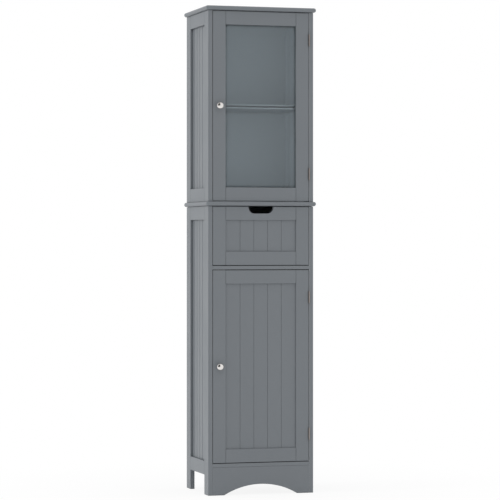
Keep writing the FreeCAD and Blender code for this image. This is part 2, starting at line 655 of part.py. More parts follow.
def make_lower_door():
    front = panelled_front(LOWER_DOOR_Z)
    add("lower_door_lock_stile", front["stiles"][0])
    add("lower_door_hinge_stile", front["stiles"][1])
    add("lower_door_rails", *front["rails"])
    add("lower_door_panel", front["panel"])


def notch_cutter(height):
    """Finger notch through the drawer's top rail, with round lower corners."""
    middle, half = DOOR_WIDTH / 2, NOTCH_WIDTH / 2
    radius = NOTCH_DEPTH * NOTCH_RADIUS_SHARE
    bend = radius * math.sqrt(1 / 2)
    floor = height - NOTCH_DEPTH
    front = -OVERRUN

    def point(x, z):
        return Vector(middle + x, front, z)

    def corner(sign):
        start = point(sign * half, floor + radius)
        end = point(sign * (half - radius), floor)
        return Part.Arc(start, point(sign * (half - radius + bend), floor + radius - bend), end).toShape()

    lip = height + OVERRUN
    edges = [Part.makeLine(point(-half, lip), point(-half, floor + radius)), corner(LEFT),
             Part.makeLine(point(radius - half, floor), point(half - radius, floor)), corner(RIGHT),
             Part.makeLine(point(half, floor + radius), point(half, lip)),
             Part.makeLine(point(half, lip), point(-half, lip))]
    wire = Part.Wire(Part.__sortEdges__(edges))
    return Part.Face(wire).extrude(Y_AXIS * (DOOR_THICKNESS + 2 * OVERRUN))


def make_drawer_front():
    front = panelled_front(DRAWER_FRONT_Z, notch_cutter(DRAWER_FRONT_Z[1] - DRAWER_FRONT_Z[0]))
    add("drawer_front_stiles", *front["stiles"])
    add("drawer_front_bottom_rail", front["rails"][0])
    add("drawer_front_top_rail", front["rails"][1])
    add("drawer_front_panel", front["panel"])


def make_drawer_box():
    """Sides, back and a bottom that slides in grooves under the back."""
    box_y = (DOOR_BACK_Y, BOX_BACK_Y)
    back_y = (BOX_BACK_Y - BOX_BACK_INSET - BOX_THICKNESS, BOX_BACK_Y - BOX_BACK_INSET)
    for side, sign in SIDES:
        x = ordered(sign * BOX_INNER_HALF, sign * BOX_HALF)
        add("drawer_sides", rounded(block(x, box_y, (BOX_Z, BOX_TOP)), ARRIS, (2, BOX_TOP)))
        for share in BOX_SCREW_SHARES:
            head = Vector(sign * BOX_HALF, sum(back_y) / 2, spread(BOX_FLOOR_Z, BOX_TOP, share))
            screw("drawer_screws", ("drawer_sides", "drawer_back"), head, X_AXIS * -sign,
                  BOX_THICKNESS + SCREW_LENGTH)
        for share in DRAWER_BOLT_SHARES:
            z = spread(BOX_FLOOR_Z, BOX_TOP, share)
            mouth = Vector(sign * (BOX_HALF - BOX_THICKNESS / 2), DOOR_BACK_Y, z)
            cam_joint("drawer_cam_fittings", mouth, Y_AXIS, Vector(sign * BOX_INNER_HALF, DOOR_BACK_Y, z),
                      X_AXIS * sign, BOX_THICKNESS, "drawer_sides", "drawer_front_stiles")
    back = block((-BOX_INNER_HALF, BOX_INNER_HALF), back_y, (BOX_FLOOR_Z, BOX_TOP))
    add("drawer_back", rounded(back, ARRIS, (2, BOX_TOP)))

    front_tongue = (DOOR_THICKNESS - DOOR_PANEL_RECESS - PANEL_THICKNESS) * FRONT_TONGUE_SHARE
    half = BOX_INNER_HALF + BOX_BOTTOM_TONGUE
    bottom_y = (DOOR_BACK_Y - front_tongue, back_y[1])
    bottom_z = (BOX_BOTTOM_Z, BOX_FLOOR_Z)
    add("drawer_bottom", block((-half, half), bottom_y, bottom_z))
    groove = block(widened((-half, half), JOINT_GAP), (bottom_y[0] - JOINT_GAP, BOX_BACK_Y + OVERRUN),
                   (bottom_z[0] - JOINT_GAP, bottom_z[1]))
    for node in ("drawer_sides", "drawer_front_stiles", "drawer_front_bottom_rail"):
        cut_later(node, groove)
    for sign in (LEFT, RIGHT):
        head = Vector(sign * BOX_INNER_HALF / 2, sum(back_y) / 2, BOX_BOTTOM_Z)
        screw("drawer_screws", ("drawer_bottom", "drawer_back"), head, Z_AXIS)


def axle(root, direction, length):
    """Riveted axle with its head at the far end."""
    tip = root + direction * length
    return rod(AXLE_RADIUS, root, tip).fuse(rod(AXLE_HEAD_RADIUS, tip - direction * AXLE_HEAD, tip))


def left_runner_x(near, far):
    """Span on the left side, from distances inwards of the side's inner face."""
    return (near - INNER_HALF, far - INNER_HALF)


def make_runners():
    """Channels on the cabinet sides, tracks on the drawer sides and a roller on each."""
    channel_y = (CHANNEL_FRONT_Y, BOX_BACK_Y - CHANNEL_END_INSET)
    flange = left_runner_x(0, TRACK_NEAR - AXLE_HEAD_CLEARANCE)
    axle_length = TRACK_NEAR - AXLE_HEAD_CLEARANCE - RUNNER_GAUGE
    axle_root = Vector(RUNNER_GAUGE - INNER_HALF, CABINET_ROLLER_Y, ROLLER_Z)
    channel = block(left_runner_x(0, RUNNER_GAUGE), channel_y, (CHANNEL_Z, CHANNEL_TOP + RUNNER_GAUGE))
    channel = one_solid(channel.multiFuse([
        block(flange, channel_y, (CHANNEL_Z, CHANNEL_Z + RUNNER_GAUGE)),
        block(flange, channel_y, (CHANNEL_TOP, CHANNEL_TOP + RUNNER_GAUGE)),
        axle(axle_root, X_AXIS, axle_length)]))
    add("cabinet_runners", channel, mirrored(channel))

    track_y = (DOOR_BACK_Y, BOX_BACK_Y)
    axle_root = Vector(TRACK_NEAR - INNER_HALF, DRAWER_ROLLER_Y, ROLLER_Z)
    track = block(left_runner_x(TRACK_NEAR, RUNNER_SPACE), track_y, (CHANNEL_Z, TRACK_Z + RUNNER_GAUGE))
    track = one_solid(track.multiFuse([
        block(left_runner_x(TRACK_NEAR, RUNNER_SPACE + RUNNER_LEDGE), track_y, (CHANNEL_Z, BOX_Z)),
        block(left_runner_x(RUNNER_GAUGE + AXLE_HEAD_CLEARANCE, TRACK_NEAR), track_y,
              (TRACK_Z, TRACK_Z + RUNNER_GAUGE)),
        axle(axle_root, -X_AXIS, axle_length)]))
    add("drawer_runners", track, mirrored(track))

    for node, y in (("cabinet_rollers", CABINET_ROLLER_Y), ("drawer_rollers", DRAWER_ROLLER_Y)):
        near = Vector(ROLLER_NEAR - INNER_HALF, y, ROLLER_Z)
        far = Vector(ROLLER_FAR - INNER_HALF, y, ROLLER_Z)
        roller = rod(ROLLER_RADIUS, near, far).cut(rod(AXLE_RADIUS + AXLE_FIT, near, far)).Solids[0]
        add(node, roller, mirrored(roller))
    make_runner_screws()


def make_runner_screws():
    for side, sign in SIDES:
        outward, inward = X_AXIS * sign, X_AXIS * -sign
        for y in (FRONT_Y + SIDE_STILE - RUNNER_SCREW_INSET, BACK_Y - SIDE_STILE + RUNNER_SCREW_INSET):
            head = Vector(sign * (INNER_HALF - RUNNER_GAUGE), y, ROLLER_Z)
            screw("carcass_screws", ("cabinet_runners", f"lower_{side}_stiles"), head, outward)
        for share in TRACK_SCREW_SHARES:
            head = Vector(sign * (INNER_HALF - TRACK_NEAR), spread(DOOR_BACK_Y, BOX_BACK_Y, share), ROLLER_Z)
            screw("drawer_screws", ("drawer_runners", "drawer_sides"), head, inward, TRACK_SCREW_LENGTH)


def make_hinges(level, door_z):
    """Two butt hinges of a door: frame leaf, door leaf and pin, with their screws and mortises."""
    stiles, door_stile = f"{level}_right_stiles", f"{level}_door_hinge_stile"
    leaf_y = (HINGE_Y, FRONT_Y + LEAF_WIDTH)
    near, far = LEAF_GAP / 2, LEAF_GAP / 2 + LEAF_THICKNESS
    for centre_z in (door_z[0] + HINGE_INSET, door_z[1] - HINGE_INSET):
        z = (centre_z - HINGE_HEIGHT / 2, centre_z + HINGE_HEIGHT / 2)
        half_middle = HINGE_HEIGHT * MIDDLE_KNUCKLE_SHARE / 2
        middle = (centre_z - half_middle, centre_z + half_middle)
        outer = ((z[0], middle[0] - KNUCKLE_GAP), (middle[1] + KNUCKLE_GAP, z[1]))
        bore = barrel(HINGE_PIN_RADIUS + HINGE_PIN_FIT, widened(z, OVERRUN))
        clear = BARREL_RADIUS + BARREL_STANDOFF

        frame_x, door_x = (HINGE_X + near, HINGE_X + far), (HINGE_X - far, HINGE_X - near)
        frame_leaf = block(frame_x, leaf_y, z).cut(barrel(clear, widened(middle, KNUCKLE_GAP)))
        frame_leaf = frame_leaf.multiFuse([barrel(BARREL_RADIUS, span) for span in outer]).cut(bore)
        add("frame_hinge_leaves", one_solid(frame_leaf))
        door_leaf = block(door_x, leaf_y, z)
        door_leaf = door_leaf.cut([barrel(clear, (z[0] - OVERRUN, middle[0])),
                                   barrel(clear, (middle[1], z[1] + OVERRUN))])
        door_leaf = door_leaf.fuse(barrel(BARREL_RADIUS, middle)).cut(bore)
        add(f"{level}_door_hinge_leaves", one_solid(door_leaf))
        add("hinge_pins", hinge_pin(z))

        mortise_y = (FRONT_Y - OVERRUN, leaf_y[1])
        cut_later(stiles, block((INNER_HALF - OVERRUN, INNER_HALF + LEAF_MORTISE), mortise_y, z))
        door_edge = DOOR_WIDTH / 2
        cut_later(door_stile, block((door_edge - LEAF_MORTISE, door_edge + OVERRUN), mortise_y, z))
        for step in (-1, 1):
            screw_z = centre_z + step * HINGE_HEIGHT * LEAF_SCREW_SHARE
            screw_y = FRONT_Y + LEAF_WIDTH / 2
            screw("carcass_screws", ("frame_hinge_leaves", stiles),
                  Vector(frame_x[0], screw_y, screw_z), X_AXIS)
            screw(f"{level}_door_screws", (f"{level}_door_hinge_leaves", door_stile),
                  Vector(door_x[1], screw_y, screw_z), -X_AXIS)


def barrel(radius, z):
    """Round bar on the hinge axis between two heights."""
    return rod(radius, Vector(HINGE_X, HINGE_Y, z[0]), Vector(HINGE_X, HINGE_Y, z[1]))


def hinge_pin(z):
    """Pin with a cap over each end of the barrel."""
    cap = BARREL_RADIUS * HINGE_CAP_SHARE
    ends = [rounded(barrel(cap, span), HINGE_PIN_CAP / 2, (2, level))
            for span, level in (((z[0] - HINGE_PIN_CAP, z[0]), z[0] - HINGE_PIN_CAP),
                                ((z[1], z[1] + HINGE_PIN_CAP), z[1] + HINGE_PIN_CAP))]
    return one_solid(barrel(HINGE_PIN_RADIUS, z).multiFuse(ends))


def make_knob(level, z):
    """Turned knob on the lock stile, and the screw that holds it from inside."""
    def profile(radius, share):
        return Vector(KNOB_X + radius, FRONT_Y - KNOB_PROJECTION * share, z)
    base, neck, head = KNOB_BASE_DIAMETER / 2, KNOB_NECK_DIAMETER / 2, KNOB_DIAMETER / 2
    throat = Part.BezierCurve()
    throat.setPoles([profile(neck, KNOB_BASE_SHARE), profile(neck, KNOB_NECK_SHARE),
                     profile(head * KNOB_FLARE_SHARE, KNOB_SHOULDER_SHARE),
                     profile(head, KNOB_SHOULDER_SHARE)])
    rise = KNOB_PROJECTION * (1 - KNOB_RIM_SHARE)
    dome = (head ** 2 + rise ** 2) / (2 * rise)
    half_angle = math.asin(head / dome) / 2
    crown = Vector(KNOB_X + dome * math.sin(half_angle),
                   FRONT_Y - KNOB_PROJECTION + dome * (1 - math.cos(half_angle)), z)
    edges = [Part.makeLine(profile(0, 0), profile(base, 0)),
             Part.makeLine(profile(base, 0), profile(base, KNOB_BASE_SHARE / 2)),
             Part.makeLine(profile(base, KNOB_BASE_SHARE / 2), profile(neck, KNOB_BASE_SHARE)),
             throat.toShape(),
             Part.makeLine(profile(head, KNOB_SHOULDER_SHARE), profile(head, KNOB_RIM_SHARE)),
             Part.Arc(profile(head, KNOB_RIM_SHARE), crown, profile(0, 1)).toShape(),
             Part.makeLine(profile(0, 1), profile(0, 0))]
    face = Part.Face(Part.Wire(edges))
    knob = face.revolve(Vector(KNOB_X, FRONT_Y, z), Y_AXIS, 360)
    add(f"{level}_door_knob", knob.Solids[0])

    seat = Vector(KNOB_X, DOOR_BACK_Y, z)
    length = DOOR_THICKNESS + KNOB_SCREW_BITE
    head_disc = rod(KNOB_SCREW_HEAD_RADIUS, seat, seat + Y_AXIS * KNOB_SCREW_HEAD)
    head_disc = rounded(head_disc, KNOB_SCREW_HEAD / 2, (1, DOOR_BACK_Y + KNOB_SCREW_HEAD))
    shank = rod(KNOB_SCREW_RADIUS, seat, seat - Y_AXIS * length)
    bolt = one_solid(head_disc.fuse(shank))
    bolt = slotted(bolt, seat + Y_AXIS * KNOB_SCREW_HEAD, -Y_AXIS, KNOB_SCREW_HEAD_RADIUS)
    add(f"{level}_door_screws", bolt)
    hole = rod(KNOB_SCREW_RADIUS + SCREW_FIT, seat + Y_AXIS * OVERRUN, seat - Y_AXIS * (length + SCREW_FIT))
    cut_later(f"{level}_door_lock_stile", hole)
    cut_later(f"{level}_door_knob", hole)


def make_catch(level, board, under, door_top):
    """Magnetic catch under a board, and the strike plate on the door behind its corner."""
    x = (CATCH_INSET - INNER_HALF, CATCH_INSET - INNER_HALF + CATCH_LENGTH)
    middle = sum(x) / 2
    front = DOOR_BACK_Y + STRIKE_THICKNESS + CATCH_GAP
    y, z = (front, front + CATCH_DEPTH), (under - CATCH_HEIGHT, under)
    magnet_x = (middle - MAGNET_LENGTH / 2, middle + MAGNET_LENGTH / 2)
    magnet_y = (front, front + MAGNET_DEPTH)
    magnet_z = (sum(z) / 2 - MAGNET_HEIGHT / 2, sum(z) / 2 + MAGNET_HEIGHT / 2)
    pocket = block(widened(magnet_x, JOINT_GAP), (front - OVERRUN, magnet_y[1] + JOINT_GAP),
                   widened(magnet_z, JOINT_GAP))
    case = rounded(block(x, y, z), ARRIS, (2, z[0]))
    add("magnetic_catches", case.cut(pocket).Solids[0], block(magnet_x, magnet_y, magnet_z))
    for step in (-1, 1):
        head = Vector(middle + step * CATCH_LENGTH * CATCH_SCREW_SHARE, sum(y) / 2, z[0])
        screw("carcass_screws", ("magnetic_catches", board), head, Z_AXIS, CATCH_HEIGHT + CATCH_BITE)

    plate_x = (KNOB_X - STRIKE_LENGTH / 2, KNOB_X + STRIKE_LENGTH / 2)
    plate_y = (DOOR_BACK_Y, DOOR_BACK_Y + STRIKE_THICKNESS)
    plate_z = (door_top - STRIKE_INSET - STRIKE_HEIGHT, door_top - STRIKE_INSET)
    add(f"{level}_door_strike_plate", block(plate_x, plate_y, plate_z))
    screw(f"{level}_door_screws", (f"{level}_door_strike_plate", f"{level}_door_lock_stile"),
          Vector(KNOB_X, plate_y[1], sum(plate_z) / 2), -Y_AXIS)


def finished(node):
    """A node's solids with their holes and slots."""
    done = []
    for solid in solids_of[node]:
        tools = [tool for tool in cuts_of.get(node, []) if tool.BoundBox.intersect(solid.BoundBox)]
        done.extend(solid.cut(tools).Solids if tools else [solid])
    return done


make_boards()
make_apron()
make_side_frames()
make_back()
make_shelves()
make_board_joints()
make_upper_door()
make_lower_door()
make_drawer_front()
make_drawer_box()
make_runners()
make_hinges("upper", UPPER_DOOR_Z)
make_hinges("lower", LOWER_DOOR_Z)
make_knob("upper", sum(UPPER_DOOR_Z) / 2)
make_knob("lower", sum(LOWER_DOOR_Z) / 2)
make_catch("upper", "top_board", TOP_UNDER, UPPER_DOOR_Z[1])
make_catch("lower", "drawer_divider", DIVIDER_UNDER, LOWER_DOOR_Z[1])

os.makedirs("parts", exist_ok=True)
for node in solids_of:
    solids = finished(node)
    shape = solids[0] if len(solids) == 1 else Part.makeCompound(solids)
    shape.exportStep(f"parts/{node}.step")
    print(node, len(solids), round(shape.Volume), shape.isValid())
print(len(solids_of), "nodes")
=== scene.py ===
import math

import bpy
from bpy.props import FloatProperty, FloatVectorProperty, PointerProperty
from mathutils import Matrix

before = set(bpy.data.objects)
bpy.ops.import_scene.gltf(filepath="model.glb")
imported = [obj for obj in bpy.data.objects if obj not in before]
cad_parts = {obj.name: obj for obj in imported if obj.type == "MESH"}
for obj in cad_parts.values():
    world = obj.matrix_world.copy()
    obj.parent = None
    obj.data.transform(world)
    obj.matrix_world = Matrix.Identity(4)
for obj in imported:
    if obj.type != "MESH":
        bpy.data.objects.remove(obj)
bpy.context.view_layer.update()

bl_info = {
    "name": "Tall Bathroom Cabinet",
    "version": (1, 0, 0),
    "blender": (4, 5, 0),
    "location": "View3D > Sidebar > Cabinet",
    "description": "Finishes and stage for a tall cabinet with two doors and a drawer",
    "category": "Object",
}

MM = 0.001
UPRIGHT = math.radians(90)
WHITE = (1.0, 1.0, 1.0)

# The curve between a screen's levels and light.
SCREEN_WHITE = 255.0
CURVE_KNEE = 0.04045
CURVE_SLOPE = 12.92
CURVE_OFFSET = 0.055
CURVE_POWER = 2.4

# Ranges of a value and, where four are given, of what it becomes.
NOISE_RANGE = (0.3, 0.7)
EDGE_MEETING = (0.99, 0.8)
EDGE_BREAKS = (0.35, 0.65, 0.35, 1.0)
CREASE_SHADE = (0.92, 0.5)
INNER_LEAN = (-0.4, -0.6)
FLOOR_FADE = (0.3, 1.2, 0.88, 1.0)
DIM_CORE = (0.76, 0.9, 0.0, 0.8)
DIM_SPILL = (0.2, 0.96, 0.0, 0.2)
DIM_TOP = (0.98, 0.9)

# How much a smear dulls metal, and a slow drift dulls plastic.
METAL_DULLING = 0.9
PLASTIC_DULLING = 0.92
PLASTIC_DRIFT_SIZE = 20 * MM
PLASTIC_GLOSS_DRIFT = 0.08

FLOOR_SIDES = 96


def screen_colour(red, green, blue):
    """Linear colour of a shade given as it shows on a screen, from 0 to 255."""
    def linear(level):
        share = level / SCREEN_WHITE
        if share <= CURVE_KNEE:
            return share / CURVE_SLOPE
        return ((share + CURVE_OFFSET) / (1 + CURVE_OFFSET)) ** CURVE_POWER
    return tuple(linear(level) for level in (red, green, blue))


def colour_property(name, description, shade):
    return FloatVectorProperty(name=name, description=description, subtype="COLOR", size=3,
                               min=0, max=1, default=screen_colour(*shade))


def length_property(name, description, default):
    return FloatProperty(name=name, description=description, subtype="DISTANCE", unit="LENGTH",
                         min=0, precision=5, default=default)


def share_property(name, description, default):
    return FloatProperty(name=name, description=description, subtype="FACTOR", min=0, max=1,
                         default=default)


def angle_property(name, description, degrees):
    return FloatProperty(name=name, description=description, subtype="ANGLE", unit="ROTATION",
                         default=math.radians(degrees))


def number_property(name, description, default):
    return FloatProperty(name=name, description=description, default=default)


class PaintSettings(bpy.types.PropertyGroup):
    colour: colour_property("Paint", "Satin grey of the boards, frames and panels", (125, 130, 135))
    bare_edge: colour_property("Thin edge", "Thin paint on an arris", (146, 149, 151))
    # Painted shade: the tone laid into grooves, gaps and inner corners, where shade falls.
    crease: colour_property("Crease", "Paint in the bottom of grooves and corners", (56, 59, 62))
    roughness: share_property("Roughness", "Gloss of the satin coat", 0.46)
    gloss_drift: share_property("Gloss drift", "How far the roughness drifts either way", 0.04)
    specular: share_property("Mirror", "Strength of the coat's reflections", 0.35)
    edge_share: share_property("Edge share", "How much of the thin edge's tone shows", 0.3)
    # Painted shade: how strongly that tone shows on frames and boards, and in the panels' grooves.
    crease_share: share_property("Crease share", "How much darker the paint lies in creases", 0.75)
    groove_share: share_property("Groove share", "How much darker a panel's grooves are", 0.15)
    peel_size: length_property("Peel size", "Pitch of the coat's orange peel", 1.6 * MM)
    peel_depth: length_property("Peel depth", "Height of the orange peel", 0.012 * MM)
    drift_size: length_property("Drift size", "Pitch of the slow changes of tone", 140 * MM)
    drift_share: share_property("Drift share", "Strength of the slow changes of tone", 0.05)
    edge_width: length_property("Edge width", "Width of the thin paint on an arris", 1.1 * MM)
    # Painted shade: how far that tone reaches out of a corner.
    crease_width: length_property("Crease width", "Reach of the darker paint in a corner", 3 * MM)


class GlassSettings(bpy.types.PropertyGroup):
    colour: colour_property("Glass", "Tint of the frosted pane", (234, 246, 253))
    cast: colour_property("Glass cloud", "Tint of the cloudy patches", (240, 250, 255))
    # Painted shade: a darker tint laid on the pane along the frame, where the frame shades it.
    rim: colour_property("Glass rim", "Tint of the pane along the frame", (120, 128, 132))
    rim_width: length_property("Rim width", "Reach of the darker rim", 12 * MM)
    rim_share: share_property("Rim share", "How much darker the rim is", 0.8)
    frosting: share_property("Frosting", "How far the frosted face blurs what is behind it", 0.2)
    frosting_drift: share_property("Frosting drift", "How far the frosting drifts either way", 0.04)
    clearness: share_property("Clearness", "Share of the light that passes through the pane", 0.94)
    bending: number_property("Bending", "Refractive index of the pane", 1.2)
    wave_size: length_property("Wave size", "Pitch of the slow waves of the rolled pane", 60 * MM)
    wave_depth: length_property("Wave depth", "Height of the slow waves", 0.05 * MM)
    mottle_size: length_property("Mottle size", "Pitch of the cloudy patches", 16 * MM)
    mottle_share: share_property("Mottle share", "Strength of the cloudy patches", 0.35)


class MetalSettings(bpy.types.PropertyGroup):
    knob: colour_property("Knobs", "Polished nickel of the knobs", (231, 228, 225))
    hinge: colour_property("Hinges", "Satin nickel of the hinges", (158, 150, 145))
    zinc: colour_property("Fixings", "Bright zinc of screws, cams and pins", (205, 207, 210))
    strike: colour_property("Strike plates", "Plated steel of the strike plates", (190, 192, 194))
    brush_size: length_property("Brush size", "Pitch of the fine drawn lines", 0.25 * MM)
    brush_depth: length_property("Brush depth", "Height of the fine drawn lines", 0.004 * MM)
    polish_depth: length_property("Polish depth", "Height of what polishing leaves", 0.0004 * MM)


class FittingSettings(bpy.types.PropertyGroup):
    back_board: colour_property("Back board", "Lacquer of back and drawer bottom", (182, 186, 189))
    inner_side: colour_property("Inner sides", "Lacquer of the sides' inner faces", (214, 218, 221))
    shelf: colour_property("Shelves", "Lacquer of the shelves", (118, 122, 125))
    shelf_specular: share_property("Shelf mirror", "Strength of the lacquer's reflections", 0.05)
    # Painted highlight on the lips of a shelf's front edge, and painted shade in the groove between
    # them.
    shelf_lip: colour_property("Shelf lips", "Paler lips of a shelf's front edge", (236, 239, 241))
    shelf_groove: colour_property("Shelf groove", "Dark groove between those lips", (18, 19, 20))
    shelf_lip_width: length_property("Lip width", "Reach of the paler lips", 3 * MM)
    shelf_groove_reach: length_property("Groove reach", "Reach of the dark groove", 14 * MM)
    epoxy: colour_property("Runners", "White coat of the drawer runners", (232, 232, 228))
    nylon: colour_property("Rollers", "Natural nylon of the rollers", (236, 234, 226))
    beech: colour_property("Dowels", "Beech of the dowels", (205, 172, 128))
    beech_grain: colour_property("Dowel grain", "Darker lines of the beech", (168, 130, 88))
    beech_line: length_property("Dowel line", "Pitch of the beech's grain", 0.7 * MM)
    beech_depth: length_property("Dowel grain depth", "Depth of the beech's grain", 0.03 * MM)
    beech_smooth: share_property("Smooth beech", "Roughness of the smoothest wood", 0.6)
    beech_dull: share_property("Dull beech", "Roughness of the dullest wood", 0.75)
    catch: colour_property("Catches", "Moulded plastic of the magnetic catches", (214, 214, 211))


class StageSettings(bpy.types.PropertyGroup):
    camera_place: FloatVectorProperty(
        name="Camera", description="Where the photograph was taken from", subtype="TRANSLATION",
        unit="LENGTH", size=3, default=(-2.3538, -7.9949, 0.86565))
    camera_turn: angle_property("Camera turn", "How far the camera looks to the right", 16.398)
    lens: number_property("Lens", "Focal length in millimetres on a 36 mm frame", 169.39)
    horizon_shift: number_property("Horizon shift", "Shift, as a share of the frame", -0.0079)
    horizon: number_property("Horizon", "Level of the soft light from the walls", 0.465)
    zenith: number_property("Zenith", "Level of the soft light from above", 1.0)
    key_strength: number_property("Key light", "Strength of the light on the left side", 0.68)
    key_heading: angle_property("Key heading", "How far left of the front the key light stands", 88)
    key_height: angle_property("Key height", "How high the key light stands", 22)
    key_spread: angle_property("Key spread", "Breadth of the key light, seen from the cabinet", 6)
    floor: colour_property("Floor", "Pale floor that the cabinet stands on", (252, 252, 252))
    floor_radius: length_property("Floor radius", "Reach of the floor", 30.0)
    dark_side: colour_property("Dark side", "Dim screen that polished metal mirrors", (24, 22, 22))
    dark_heading: angle_property("Dark heading", "How far left of the front the screen is", 52)


class CabinetSettings(bpy.types.PropertyGroup):
    paint: PointerProperty(type=PaintSettings)
    glass: PointerProperty(type=GlassSettings)
    metal: PointerProperty(type=MetalSettings)
    fitting: PointerProperty(type=FittingSettings)
    stage: PointerProperty(type=StageSettings)


def settings():
    return bpy.context.scene.cabinet


class Sketch:
    """Adds nodes to a tree and links them as they are added."""

    def __init__(self, tree):
        self.tree = tree

    def add(self, kind, inputs=None, **options):
        node = self.tree.nodes.new(kind)
        for name, value in options.items():
            setattr(node, name, value)
        for name, value in (inputs or {}).items():
            if isinstance(value, bpy.types.NodeSocket):
                self.tree.links.new(value, node.inputs[name])
            else:
                node.inputs[name].default_value = value
        return node

    def math(self, operation, *values):
        return self.add("ShaderNodeMath", dict(enumerate(values)), operation=operation).outputs[0]

    def remap(self, value, low, high, to_low=0.0, to_high=1.0):
        names = ("Value", "From Min", "From Max", "To Min", "To Max")
        values = (value, low, high, to_low, to_high)
        return self.add("ShaderNodeMapRange", dict(zip(names, values))).outputs[0]

    def mix(self, share, one, other):
        """Mix of two colours. The mix node takes them at 6 and 7, and gives the result at 2."""
        return self.add("ShaderNodeMix", {0: share, 6: one, 7: other}, data_type="RGBA").outputs[2]

    def vector(self, operation, *values):
        inputs = dict(enumerate(values))
        return self.add("ShaderNodeVectorMath", inputs, operation=operation).outputs

    def part(self, vector, axis):
        """One of a vector's three values."""
        return self.add("ShaderNodeSeparateXYZ", {0: vector}).outputs[axis]

    def noise(self, size, place, detail):
        """Noise with a pitch in metres, given as a number or as a socket."""
        given = isinstance(size, bpy.types.NodeSocket)
        scale = self.math("DIVIDE", 1.0, size) if given else 1.0 / size
        return self.add("ShaderNodeTexNoise",
                        {"Vector": place, "Scale": scale, "Detail": detail}).outputs["Fac"]

    def place(self):
        """The surface point in the part's own space, in metres."""
        return self.add("ShaderNodeTexCoord").outputs["Object"]

    def group(self, tree, **inputs):
        node = self.add("ShaderNodeGroup", node_tree=tree)
        for name, value in inputs.items():
            node.inputs[name.replace("_", " ").capitalize()].default_value = value
        return node

    def bump(self, height, depth):
        return self.add("ShaderNodeBump", {"Height": height, "Distance": depth}).outputs["Normal"]


def rgba(colour):
    return (*colour, 1.0)


def new_group(name, inputs, outputs):
    """Empty shader group with float inputs, given as name and default, and float outputs."""
    tree = bpy.data.node_groups.new(name, "ShaderNodeTree")
    for socket, default in inputs:
        made = tree.interface.new_socket(socket, in_out="INPUT", socket_type="NodeSocketFloat")
        made.default_value = default
    for socket in outputs:
        tree.interface.new_socket(socket, in_out="OUTPUT", socket_type="NodeSocketFloat")
    sketch = Sketch(tree)
    return sketch, sketch.add("NodeGroupInput"), sketch.add("NodeGroupOutput")


def spray_group():
    """Orange peel and slow drift of tone in a sprayed coat."""
    name = "Sprayed coat"
    if name in bpy.data.node_groups:
        return bpy.data.node_groups[name]
    sketch, given, result = new_group(name, (("Peel size", 1.6 * MM), ("Drift size", 140 * MM)),
                                      ("Peel", "Drift"))
    place = sketch.place()
    peel = sketch.noise(given.outputs["Peel size"], place, detail=2.0)
    drift = sketch.noise(given.outputs["Drift size"], place, detail=4.0)
    sketch.tree.links.new(peel, result.inputs["Peel"])
    sketch.tree.links.new(sketch.remap(drift, *NOISE_RANGE), result.inputs["Drift"])
    return sketch.tree


def edge_group():
    """Mask of the arrises, where a rounded normal leaves the true one, broken up along the edge:
    worn thin paint on the cabinet, a painted highlight on a shelf's lips.
    """
    name = "Thin edges"
    if name in bpy.data.node_groups:
        return bpy.data.node_groups[name]
    sketch, given, result = new_group(name, (("Width", 1.1 * MM),), ("Mask",))
    width = given.outputs["Width"]
    soft = sketch.add("ShaderNodeBevel", {"Radius": width}, samples=4).outputs["Normal"]
    true = sketch.add("ShaderNodeNewGeometry").outputs["Normal"]
    edge = sketch.remap(sketch.vector("DOT_PRODUCT", soft, true)["Value"], *EDGE_MEETING)
    broken = sketch.remap(sketch.noise(width, sketch.place(), detail=3.0), *EDGE_BREAKS)
    sketch.tree.links.new(sketch.math("MULTIPLY", edge, broken), result.inputs["Mask"])
    return sketch.tree


def crease_group():
    """Mask of grooves, gaps and inner corners where shade falls, for painted shade there."""
    name = "Creases"
    if name in bpy.data.node_groups:
        return bpy.data.node_groups[name]
    sketch, given, result = new_group(name, (("Width", 3 * MM),), ("Mask",))
    shade = sketch.add("ShaderNodeAmbientOcclusion", {"Distance": given.outputs["Width"]},
                       samples=8).outputs["AO"]
    sketch.tree.links.new(sketch.remap(shade, *CREASE_SHADE), result.inputs["Mask"])
    return sketch.tree


def drawn_group():
    """Fine lines of drawn metal or wood, stretched along one direction, and a soft smear."""
    name = "Drawn lines"
    if name in bpy.data.node_groups:
        return bpy.data.node_groups[name]
    sizes = (("Line size", 0.25 * MM), ("Stretch", 30.0), ("Smear size", 9 * MM))
    sketch, given, result = new_group(name, sizes, ("Lines", "Smear"))
    place = sketch.place()
    parts = sketch.add("ShaderNodeSeparateXYZ", {0: place}).outputs
    short = sketch.math("DIVIDE", parts["Z"], given.outputs["Stretch"])
    drawn = sketch.add("ShaderNodeCombineXYZ", {"X": parts["X"], "Y": parts["Y"], "Z": short})
    lines = sketch.noise(given.outputs["Line size"], drawn.outputs[0], detail=2.0)
    smear = sketch.noise(given.outputs["Smear size"], place, detail=3.0)
    sketch.tree.links.new(lines, result.inputs["Lines"])
    sketch.tree.links.new(sketch.remap(smear, *NOISE_RANGE), result.inputs["Smear"])
    return sketch.tree


def inner_face_group():
    """Mask of the faces of a side that look into the cabinet."""
    name = "Inner faces"
    if name in bpy.data.node_groups:
        return bpy.data.node_groups[name]
    sketch, _, result = new_group(name, (), ("Mask",))
    side = sketch.math("SIGN", sketch.part(sketch.place(), "X"))
    lean = sketch.part(sketch.add("ShaderNodeNewGeometry").outputs["True Normal"], "X")
    inward = sketch.remap(sketch.math("MULTIPLY", side, lean), *INNER_LEAN)
    sketch.tree.links.new(inward, result.inputs["Mask"])
    return sketch.tree


def new_material(name):
    """Material with a Principled shader, and the sketch that adds to it."""
    material = bpy.data.materials.new(name)
    material.use_nodes = True
    sketch = Sketch(material.node_tree)
    shader = next(node for node in material.node_tree.nodes if node.type == "BSDF_PRINCIPLED")
    return material, sketch, shader


